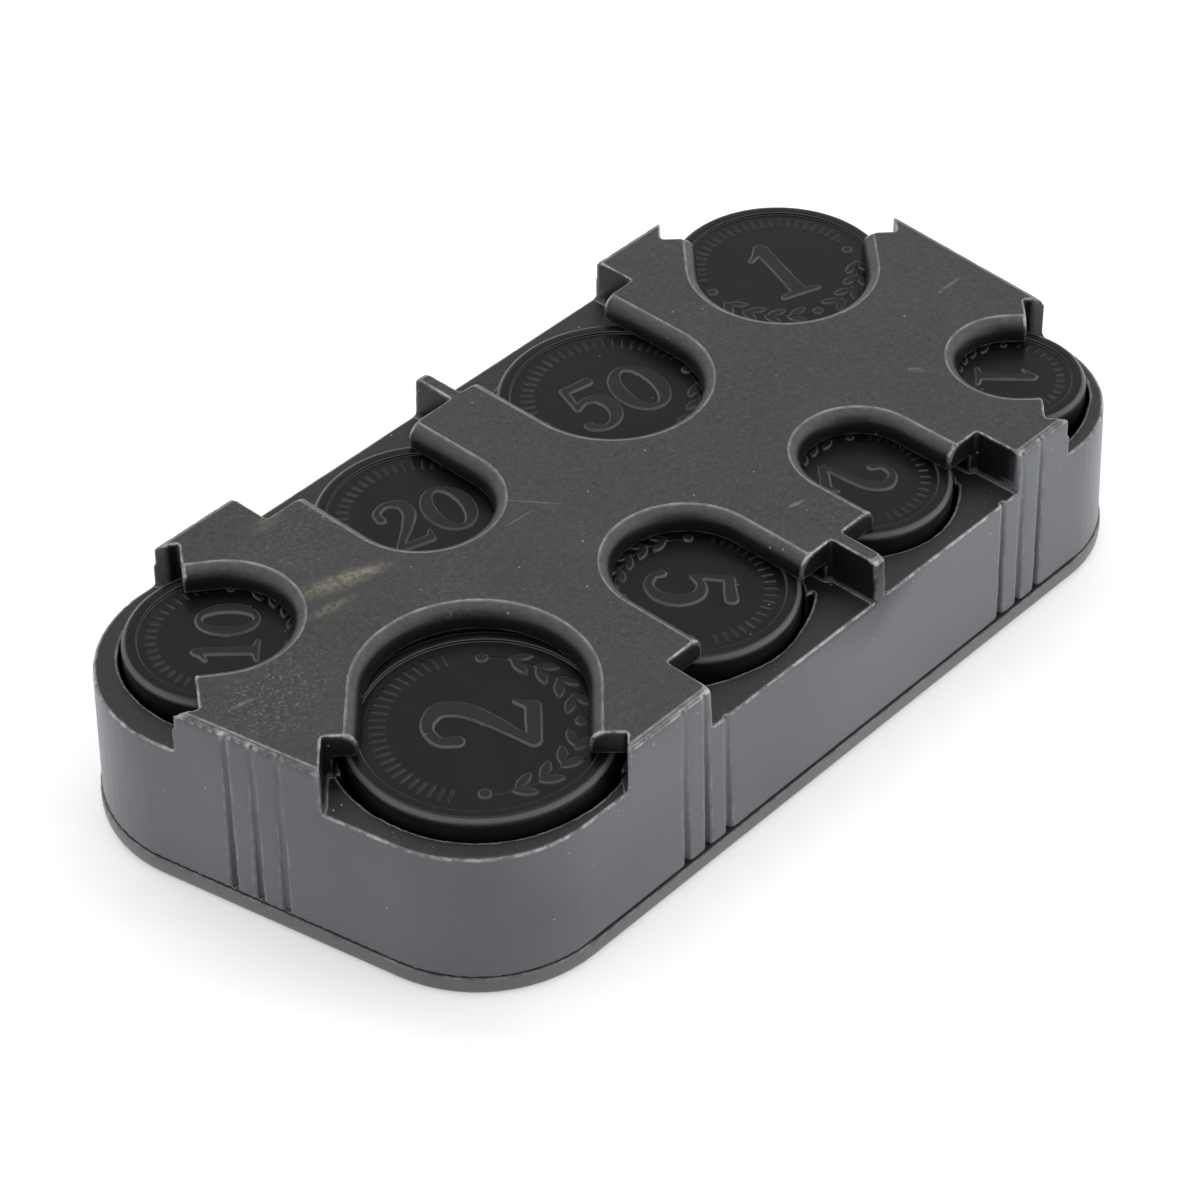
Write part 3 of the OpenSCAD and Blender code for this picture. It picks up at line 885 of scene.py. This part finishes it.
@dataclass
class Housing:
    """Top shell and base plate: the CAD nodes with their edges rounded.

    A convex edge starts and ends to count as worn and painted bright at the two values of sharp. A
    face whose normal has a greater upright part than level_face is level.
    """

    shell_triangles: int = 190000
    base_triangles: int = 60000
    merge: float = 0.002 * MM
    voxel: float = 0.2 * MM
    soften_share: float = 0.5
    soften_steps: int = 8
    sharp: Pair = (0.006 * MM, 0.0105 * MM)
    outer_band: float = 1.0 * MM
    directions: int = 90
    level_face: float = 0.9999

    def softened_copy(self, node: str, most_triangles: int) -> Piece:
        """Copy a CAD node with softly rounded edges.

        The merged solid becomes an even skin of small faces, which is smoothed a little, so that
        every edge and corner gets a rounding of about two voxels, and is then thinned where it is
        flat. Level faces are shaded flat, all others smoothly.

        Args:
            node: Name of the CAD node.
            most_triangles: Triangles that may be left.

        Returns:
            The new object, without live modifiers.
        """
        mesh = bpy.data.meshes.new(node + "_draft")
        work = bmesh.new()
        work.from_mesh(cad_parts[node].data)
        bmesh.ops.remove_doubles(work, verts=work.verts, dist=self.merge)
        work.to_mesh(mesh)
        work.free()
        draft = show(node + "_draft", mesh)
        skin = draft.modifiers.new("skin", "REMESH")
        skin.mode = "VOXEL"
        skin.voxel_size = self.voxel
        skin.adaptivity = 0.0
        skin.use_smooth_shade = True
        soften = draft.modifiers.new("soften", "SMOOTH")
        soften.factor = self.soften_share
        soften.iterations = self.soften_steps
        dense = self.evaluated(draft)
        self.mark(dense)
        count = 2 * len(dense.polygons)
        draft.modifiers.clear()
        draft.data = dense
        thin = draft.modifiers.new("thin", "DECIMATE")
        thin.ratio = min(1.0, most_triangles / count)
        done = self.evaluated(draft)
        done.name = node + "_moulded"
        ways = np.empty(3 * len(done.polygons), np.float32)
        done.polygons.foreach_get("normal", ways)
        done.polygons.foreach_set("use_smooth", np.abs(ways[2::3]) < self.level_face)
        log.info("%s: %d triangles before thinning, %d after", node, count, len(done.polygons))
        bpy.data.objects.remove(draft)
        bpy.data.meshes.remove(mesh)
        bpy.data.meshes.remove(dense)
        return show(node + "_moulded", done)

    def mark(self, mesh: bpy.types.Mesh) -> None:
        """Mark as point attributes the convex edges, which get wear and a painted highlight, and the outer
        walls.

        A point's sharpness is how far it stands out along its normal from the middle of its
        neighbours. Its way to the outline is the least, over level directions, of the whole mesh's
        reach in that direction less the point's own. It is outer up to one band from the outline and
        inner from two bands on.

        Args:
            mesh: Dense, even mesh.
        """
        count = len(mesh.vertices)
        places, normals = np.empty(3 * count), np.empty(3 * count, np.float32)
        mesh.vertices.foreach_get("co", places)
        mesh.vertex_normals.foreach_get("vector", normals)
        places, normals = places.reshape(-1, 3), normals.reshape(-1, 3)
        ends = np.empty(2 * len(mesh.edges), np.int32)
        mesh.edges.foreach_get("vertices", ends)
        first, second = ends[0::2], ends[1::2]
        number = np.bincount(ends, minlength=count)
        middles = np.stack([(np.bincount(first, places[second, axis], count)
                             + np.bincount(second, places[first, axis], count)) / number
                            for axis in range(3)], axis=1)
        sharpness = ((places - middles) * normals).sum(axis=1)
        edge_wear_glint = np.clip((sharpness - self.sharp[0]) / (self.sharp[1] - self.sharp[0]), 0, 1)
        inside = np.full(count, np.inf)
        for turn in np.linspace(0, 2 * math.pi, self.directions, endpoint=False):
            reach = places[:, 0] * math.cos(turn) + places[:, 1] * math.sin(turn)
            inside = np.minimum(inside, reach.max() - reach)
        outer = np.clip(2 - inside / self.outer_band, 0, 1)
        for name, values in ((EDGE_WEAR_GLINT, edge_wear_glint), (OUTER, outer)):
            mesh.attributes.new(name, "FLOAT", "POINT").data.foreach_set("value", values.astype(np.float32))

    def evaluated(self, piece: Piece) -> bpy.types.Mesh:
        """Work out a piece's modifiers.

        Args:
            piece: The object.

        Returns:
            A new mesh with the modifiers applied.
        """
        graph = bpy.context.evaluated_depsgraph_get()
        graph.update()
        return bpy.data.meshes.new_from_object(piece.evaluated_get(graph))

    def build(self) -> None:
        """Make and dress the shell and the base plate."""
        for node, finish, slot, most in (
                ("top_shell", SHELL_FINISH, "shell_plastic", self.shell_triangles),
                ("base_plate", BASE_FINISH, "base_plastic", self.base_triangles)):
            piece = self.softened_copy(node, most)
            material = finish.make()
            dress(piece, material)
            dress(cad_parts[node], material)
            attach(piece, "holder")
            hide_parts(node)
            log.info("made %s", piece.name)


def add_mesh(name: str, points: Array, faces: list[Array]) -> Piece:
    """Put arrays of points and faces into a new smooth-shaded object.

    Args:
        name: Its name.
        points: One row of three coordinates per vertex.
        faces: Arrays of vertex numbers, one row per face; the arrays may have different widths.

    Returns:
        The object, linked to the scene.
    """
    mesh = bpy.data.meshes.new(name)
    widths = np.concatenate([np.full(len(group), group.shape[1], np.int32) for group in faces])
    corners = np.concatenate([group.ravel() for group in faces]).astype(np.int32)
    mesh.vertices.add(len(points))
    mesh.vertices.foreach_set("co", points.astype(np.float32).ravel())
    mesh.loops.add(len(corners))
    mesh.loops.foreach_set("vertex_index", corners)
    mesh.polygons.add(len(widths))
    mesh.polygons.foreach_set("loop_start", np.concatenate(([0], np.cumsum(widths)[:-1])).astype(np.int32))
    mesh.polygons.foreach_set("use_smooth", np.ones(len(widths), bool))
    mesh.update(calc_edges=True)
    mesh.validate()
    return show(name, mesh)


def grid_faces(rows: int, columns: int) -> Array:
    """Quads between the rows of a grid whose columns close into a ring.

    Args:
        rows: Number of rows.
        columns: Number of points in a row.

    Returns:
        One row of four vertex numbers per quad.
    """
    row, column = np.meshgrid(np.arange(rows - 1), np.arange(columns), indexing="ij")
    beside = (column + 1) % columns
    quads = (row * columns + column, (row + 1) * columns + column,
             (row + 1) * columns + beside, row * columns + beside)
    return np.stack([quad.ravel() for quad in quads], axis=1)


def smooth_path(points: list[Triple], steps: int = 6) -> Array:
    """Points on a smooth curve through the given ones, made of one cubic between each two.

    Between b and c, with a before and d after them, a point at share t is half of
    2b + (c - a)t + (2a - 5b + 4c - d)t^2 + (3b - a - 3c + d)t^3.

    Args:
        points: Place and half width at each given point.
        steps: Samples between two of them.

    Returns:
        The sampled places and half widths.
    """
    given = np.asarray(points, float)
    if len(given) < 3:
        return given
    padded = np.vstack((2 * given[0] - given[1], given, 2 * given[-1] - given[-2]))
    share = np.linspace(0, 1, steps, endpoint=False)[None, :, None]
    a, b, c, d = (padded[k:len(padded) - 3 + k, None, :] for k in range(4))
    curve = 0.5 * (2 * b + (c - a) * share + (2 * a - 5 * b + 4 * c - d) * share**2
                   + (3 * b - a - 3 * c + d) * share**3)
    return np.vstack((curve.reshape(-1, 3), given[-1:]))


def stroke_distance(x: Array, y: Array, points: list[Triple]) -> Array:
    """Distance to a stroke of changing width, negative inside.

    For each short piece of the stroke from a to b it is the distance to the nearest point of the
    piece, less the half width there; the least of these over the pieces counts.

    Args:
        x: First coordinates.
        y: Second coordinates.
        points: Place and half width at each given point of the stroke.

    Returns:
        The distances.
    """
    path = smooth_path(points)
    best = np.full(x.shape, np.inf)
    for start, end in zip(path[:-1], path[1:]):
        way = end - start
        length2 = max(way[0]**2 + way[1]**2, SMALLEST)
        share = np.clip(((x - start[0]) * way[0] + (y - start[1]) * way[1]) / length2, 0, 1)
        gap = np.hypot(x - start[0] - share * way[0], y - start[1] - share * way[1])
        best = np.minimum(best, gap - start[2] - share * way[2])
    return best


def plateau(distance: Array, shoulder: float) -> Array:
    """Turn distances into a raised flat: 1 inside, 0 outside, smooth over a shoulder of this width."""
    share = np.clip(0.5 - distance / shoulder, 0, 1)
    return share * share * (3 - 2 * share)


def zero_strokes() -> list[list[Triple]]:
    """Strokes of the numeral 0: an ellipse that is thicker at its sides.

    Its half width at an angle t is thin + swell |cos t|^1.5.

    Returns:
        One stroke, closed.
    """
    half_x, half_y, thin, swell = 0.25, 0.42, 0.045, 0.05
    turns = np.radians(np.arange(0, 361, 15))
    return [[(half_x * math.cos(t), half_y * math.sin(t), thin + swell * abs(math.cos(t))**1.5)
             for t in turns]]


# Strokes of the plain numerals: place and half width of each point, for a numeral of height 1
NUMERAL_STROKES = {
    "0": zero_strokes(),
    "1": [[(0.0, -0.4, 0.085), (0.0, 0.0, 0.075), (0.0, 0.4, 0.08)],
          [(-0.2, 0.27, 0.02), (-0.1, 0.34, 0.04), (-0.01, 0.43, 0.06)],
          [(-0.2, -0.455, 0.03), (0.0, -0.43, 0.05), (0.2, -0.455, 0.03)]],
    "2": [[(-0.2, 0.2, 0.06), (-0.19, 0.35, 0.05), (-0.02, 0.445, 0.05), (0.17, 0.36, 0.08),
           (0.18, 0.16, 0.085), (0.05, -0.06, 0.07), (-0.12, -0.27, 0.05), (-0.24, -0.42, 0.045)],
          [(-0.22, -0.425, 0.06), (0.0, -0.425, 0.065), (0.2, -0.425, 0.065)],
          [(0.2, -0.42, 0.055), (0.26, -0.28, 0.02)]],
    "5": [[(-0.13, 0.42, 0.06), (0.05, 0.425, 0.065), (0.2, 0.44, 0.07)],
          [(-0.14, 0.42, 0.05), (-0.18, 0.04, 0.035)],
          [(-0.18, 0.03, 0.035), (-0.04, 0.12, 0.05), (0.13, 0.08, 0.075), (0.21, -0.12, 0.09),
           (0.14, -0.33, 0.075), (-0.03, -0.44, 0.05), (-0.19, -0.39, 0.05), (-0.23, -0.31, 0.06)]],
}


@dataclass
class FaceRelief:
    """Relief on a pusher's field: a plain numeral, a pair of leafy sprigs and a ring of ticks.

    The field has this radius, and its points lie x to the right and y up, as one reads it. Sizes
    that aren't in millimetres are shares of the radius, but the spacing is a share of the numeral's
    height. A start is the sine of an angle on the field, and a shift, step or lean is an angle. The
    satin values are shares of a raised part, and the vein is a groove's depth as a share of the
    leaf's height, its half width and its shoulder.
    """

    value: str
    field_r: float
    x: Array
    y: Array
    numeral_height: float = 0.17 * MM
    leaf_height: float = 0.12 * MM
    fine_height: float = 0.08 * MM
    satin_leaf: float = 0.8
    satin_fine: float = 0.5
    shoulder: float = 0.15 * MM
    leaf_shoulder: float = 0.2 * MM
    stem_shoulder: float = 0.12 * MM
    one_digit: float = 0.98
    two_digits: float = 0.78
    spacing: float = 0.68
    tick_pitch: float = 0.95 * MM
    tick_half: float = 0.1 * MM
    tick_ring: float = 0.84
    tick_reach: float = 0.07
    tick_start: float = 0.25
    stem_half: float = 0.05 * MM
    stem_start: float = -0.05
    wreath: float = 0.80
    bead_r: float = 0.05
    bead_angle: float = math.radians(1)
    leaf_pairs: int = 4
    leaf_half_l: float = 0.115
    leaf_half_w: float = 0.042
    leaf_out: float = 0.055
    leaf_shift: float = 0.02
    leaf_step: float = math.radians(16.5)
    leaf_lean: float = 0.55
    vein: Triple = (0.4, 0.03 * MM, 0.1 * MM)

    def numeral(self) -> Array:
        """Plateau of the numeral in the middle of the field.

        Returns:
            1 on the numeral, 0 off it.
        """
        size = self.field_r * (self.one_digit if len(self.value) == 1 else self.two_digits)
        gap = np.full(self.x.shape, np.inf)
        for place, digit in enumerate(self.value):
            middle = (place - (len(self.value) - 1) / 2) * self.spacing * size
            for stroke in NUMERAL_STROKES[digit]:
                gap = np.minimum(gap, size * stroke_distance((self.x - middle) / size, self.y / size, stroke))
        return plateau(gap, self.shoulder)

    def ticks(self) -> Array:
        """Plateau of the short radial ticks along the upper part of the field.

        Returns:
            1 on the ticks, 0 off them.
        """
        radius, angle = np.hypot(self.x, self.y), np.arctan2(self.y, self.x)
        step = 2 * math.pi / round(2 * math.pi * self.field_r * self.tick_ring / self.tick_pitch)
        nearest = (np.round(angle / step - 0.5) + 0.5) * step
        gap = np.maximum(np.abs(angle - nearest) * radius - self.tick_half,
                         np.abs(radius - self.tick_ring * self.field_r) - self.tick_reach * self.field_r)
        return plateau(np.where(np.sin(angle) > self.tick_start, gap, np.inf), self.shoulder)

    def leaf(self, reach: float, turn: float, lean: float) -> Array:
        """Plateau of one leaf, a lens with a groove along its middle.

        Along the leaf p runs from -L to L, and it is as wide as W(1 - (p / L)^2) to each side.

        Args:
            reach: Distance of its middle from the middle of the field.
            turn: Angle of its middle.
            lean: Angle of its length.

        Returns:
            1 on the leaf, less in its groove and 0 off it.
        """
        half_l, half_w = self.leaf_half_l * self.field_r, self.leaf_half_w * self.field_r
        right, up = self.x - reach * math.cos(turn), self.y - reach * math.sin(turn)
        along = right * math.cos(lean) + up * math.sin(lean)
        across = np.abs(up * math.cos(lean) - right * math.sin(lean))
        gap = across - half_w * (1 - (along / half_l)**2)
        gap = np.where(np.abs(along) < half_l, gap, np.inf)
        depth, half, shoulder = self.vein
        return plateau(gap, self.leaf_shoulder) - depth * plateau(across - half, shoulder) * (gap < 0)

    def leaves(self) -> Array:
        """Plateau of both sprigs, with their pairs of leaves at even steps along the wreath.

        Returns:
            1 on the leaves, 0 off them.
        """
        total = np.zeros(self.x.shape)
        for side in (-1, 1):
            for number in range(1, self.leaf_pairs + 1):
                for ring in (-1, 1):
                    turn = -math.pi / 2 + side * (number * self.leaf_step + ring * self.leaf_shift)
                    lean = turn + side * (math.pi / 2 + ring * self.leaf_lean)
                    reach = (self.wreath + ring * self.leaf_out) * self.field_r
                    total = np.maximum(total, self.leaf(reach, turn, lean))
        return total

    def beads(self) -> Array:
        """Plateau of the three berries, at both tips of the wreath and at its foot.

        Returns:
            1 on the berries, 0 off them.
        """
        total = np.zeros(self.x.shape)
        reach = self.wreath * self.field_r
        for turn in (-self.bead_angle, math.pi + self.bead_angle, -math.pi / 2):
            gap = np.hypot(self.x - reach * math.cos(turn), self.y - reach * math.sin(turn))
            total = np.maximum(total, plateau(gap - self.bead_r * self.field_r, self.leaf_shoulder))
        return total

    def stem(self) -> Array:
        """Plateau of the thin stem that the leaves grow from.

        Returns:
            1 on the stem, 0 off it.
        """
        gap = np.abs(np.hypot(self.x, self.y) - self.wreath * self.field_r) - self.stem_half
        lower = np.sin(np.arctan2(self.y, self.x)) < self.stem_start
        return plateau(np.where(lower, gap, np.inf), self.stem_shoulder)

    def heights(self) -> tuple[Array, Array]:
        """Relief over the whole field.

        Returns:
            Heights in metres, and the share by which each point counts as raised and satin.
        """
        numeral = self.numeral()
        leafy = np.maximum(self.leaves(), self.beads())
        fine = np.maximum(self.ticks(), self.stem())
        height = np.maximum.reduce([self.numeral_height * numeral, self.leaf_height * leafy,
                                    self.fine_height * fine])
        return height, np.maximum.reduce([numeral, self.satin_leaf * leafy, self.satin_fine * fine])


@dataclass
class Pusher:
    """One pusher: an inverted cup with a rounded top edge, a rim, a field and its relief.

    The rim's foot is a small slope around the field, and the grain is the pitch of the grid.
    """

    name: str
    value: str
    up_angle: float
    height: float = 3.9 * MM
    roof: float = 1.2 * MM
    skirt: float = 1.0 * MM
    edge_round: float = 0.7 * MM
    rim: float = 0.8 * MM
    field_drop: float = 0.25 * MM
    spigot_r: float = 2.725 * MM
    spigot_h: float = 0.8 * MM
    small_round: float = 0.08 * MM
    round_steps: int = 5
    small_steps: int = 3
    rim_foot: float = 0.03 * MM
    foot_run: float = 0.02 * MM
    grain: float = 0.13 * MM

    def corner(self, radius: float, z: float, start: float, end: float, size: float) -> list[Pair]:
        """Profile points of a rounded corner, from one angle of its arc to another.

        Args:
            radius: Radius at the arc's middle.
            z: Height of the arc's middle.
            start: First angle in degrees, 0 pointing outwards and 90 up.
            end: Last angle in degrees.
            size: Radius of the arc.

        Returns:
            Radius and height of each point.
        """
        steps = self.small_steps if size == self.small_round else self.round_steps
        turns = np.radians(np.linspace(start, end, steps + 1))
        return [(radius + size * math.cos(t), z + size * math.sin(t)) for t in turns]

    def profile(self, outer: float, top: float) -> Array:
        """Cup's section from the edge of the field over the rim, down the skirt and up to the spigot.

        Args:
            outer: Outer radius.
            top: Height of the rim.

        Returns:
            Radius and height of each point, in order.
        """
        bottom, field_z = top - self.height, top - self.field_drop
        field_r, inner = outer - self.edge_round - self.rim, outer - self.skirt
        roof_z = top - self.roof
        tiny = self.small_round
        points = [(field_r, field_z), (field_r + self.foot_run, field_z + self.rim_foot)]
        points += self.corner(field_r + self.rim_foot + tiny, top - tiny, 180, 90, tiny)
        points += self.corner(outer - self.edge_round, top - self.edge_round, 90, 0, self.edge_round)
        points += self.corner(outer - tiny, bottom + tiny, 0, -90, tiny)
        points += self.corner(inner + tiny, bottom + tiny, -90, -180, tiny)
        points += [(inner, roof_z - tiny), (inner - tiny, roof_z)]
        points += [(self.spigot_r + tiny, roof_z), (self.spigot_r, roof_z - tiny)]
        points += self.corner(self.spigot_r - tiny, roof_z - self.spigot_h + tiny, 0, -90, tiny)
        return np.array(points)

    def build(self) -> Piece:
        """Make the pusher in place of its CAD node.

        The field is a polar grid: radius and angle give a place, and its height is the field's plus
        the relief there. The profile carries on from its edge, turned round the same angles.

        Returns:
            The object.
        """
        low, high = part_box("pusher_" + self.name)
        middle = (low + high) / 2
        outer = (high.x - low.x) / 2
        field_r = outer - self.edge_round - self.rim
        columns = round(2 * math.pi * field_r / self.grain)
        turns = np.linspace(0, 2 * math.pi, columns, endpoint=False)
        radii = np.linspace(0, field_r, round(field_r / self.grain) + 1)[1:]
        radius, turn = np.meshgrid(radii, turns, indexing="ij")
        shifted = turn - self.up_angle + math.pi / 2
        pattern = FaceRelief(self.value, field_r, radius * np.cos(shifted), radius * np.sin(shifted))
        relief, raised = pattern.heights()
        field_z = high.z - self.field_drop
        face = np.stack((radius * np.cos(turn), radius * np.sin(turn), field_z + relief), axis=2)
        section = self.profile(outer, high.z)[1:]
        cup = np.stack((section[:, :1] * np.cos(turns), section[:, :1] * np.sin(turns),
                        np.repeat(section[:, 1:], columns, axis=1)), axis=2)
        poles = np.array([[0, 0, field_z + relief[0].mean()], [0, 0, section[-1, 1]]])
        points = np.vstack((face.reshape(-1, 3), cup.reshape(-1, 3), poles))
        points[:, 0] += middle.x
        points[:, 1] += middle.y
        rows = len(radii) + len(section)
        first, last = rows * columns, rows * columns + 1
        ring = np.arange(columns)
        beside = (ring + 1) % columns
        tail = (rows - 1) * columns
        start_fan = np.stack((np.full(columns, first), ring, beside), axis=1)
        end_fan = np.stack((np.full(columns, last), tail + beside, tail + ring), axis=1)
        piece = add_mesh("pusher_" + self.name + "_face", points,
                         [grid_faces(rows, columns), start_fan, end_fan])
        shares = np.zeros(len(points), np.float32)
        shares[:raised.size] = raised.ravel()
        shares[first] = raised[0].mean()
        piece.data.attributes.new(RAISED, "FLOAT", "POINT").data.foreach_set("value", shares)
        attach(piece, "lift_" + self.name)
        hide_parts("pusher_" + self.name)
        return piece


@dataclass
class Spring:
    """One conical coil spring of round wire between the base plate and a pusher's roof."""

    name: str
    wire_d: float = 0.55 * MM
    low_r: float = 5.2 * MM
    high_r: float = 3.6 * MM
    turns: float = 4.5
    travel: float = 12.3 * MM
    sides: int = 14
    rings_per_turn: int = 40

    def build(self) -> Piece:
        """Make the spring in place of its CAD node.

        The middle line winds at a steady angle while its radius shrinks evenly. Its height eases in
        and out over the first and last half turn, by u^2 / 2e near the ends and u - e / 2 between.

        Returns:
            The object.
        """
        low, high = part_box("spring_" + self.name)
        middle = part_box("pusher_" + self.name)
        centre = (middle[0] + middle[1]) / 2
        rings = round(self.turns * self.rings_per_turn)
        share = np.linspace(0, 1, rings + 1)
        ease = 0.5 / self.turns
        eased = np.where(share < ease, share**2 / ease / 2,
                         np.where(share > 1 - ease, 1 - ease - (1 - share)**2 / ease / 2, share - ease / 2))
        wire_r = self.wire_d / 2
        rise = (high.z - low.z - self.wire_d) * eased / (1 - ease)
        angle = 2 * math.pi * self.turns * share
        coil_r = self.low_r + (self.high_r - self.low_r) * share
        turn = np.linspace(0, 2 * math.pi, self.sides, endpoint=False)[None, :]
        radius = coil_r[:, None] + wire_r * np.cos(turn)
        points = np.stack((centre.x + radius * np.cos(angle)[:, None],
                           centre.y + radius * np.sin(angle)[:, None],
                           low.z + wire_r + rise[:, None] + wire_r * np.sin(turn)), axis=2)
        caps = [np.arange(self.sides)[None, ::-1], (rings * self.sides + np.arange(self.sides))[None, :]]
        piece = add_mesh("spring_" + self.name + "_wire", points.reshape(-1, 3),
                         [grid_faces(rings + 1, self.sides)[:, ::-1], caps[0][:, ::-1], caps[1][:, ::-1]])
        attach(piece, "holder")
        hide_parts("spring_" + self.name)
        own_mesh(piece)
        return piece


@dataclass
class Lifts:
    """The eight pushers and their springs: name, numeral and the angle at which the numeral is up."""

    plan: tuple[tuple[str, str, float], ...] = (
        ("10", "10", 134.0), ("20", "20", 72.0), ("50", "50", 75.0), ("main_1", "1", 70.0),
        ("main_2", "2", 135.0), ("5", "5", -48.0), ("2", "2", -44.0), ("1", "1", -50.0))

    def build(self) -> None:
        """Make and dress the pushers and the springs."""
        plastic = PUSHER_FINISH.make()
        wire = DrawnWire().make()
        for name, value, up_angle in self.plan:
            dress(Pusher(name, value, math.radians(up_angle)).build(), plastic)
            dress(Spring(name).build(), wire)
            dress(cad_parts["pusher_" + name], plastic)
            dress(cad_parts["spring_" + name], wire)
            log.info("made pusher and spring %s", name)


def main() -> None:
    """Build every class in order."""
    logging.basicConfig(level=logging.INFO, format="%(name)s: %(message)s")
    Studio().build()
    Housing().build()
    Lifts().build()


if __name__ == "__main__":
    main()
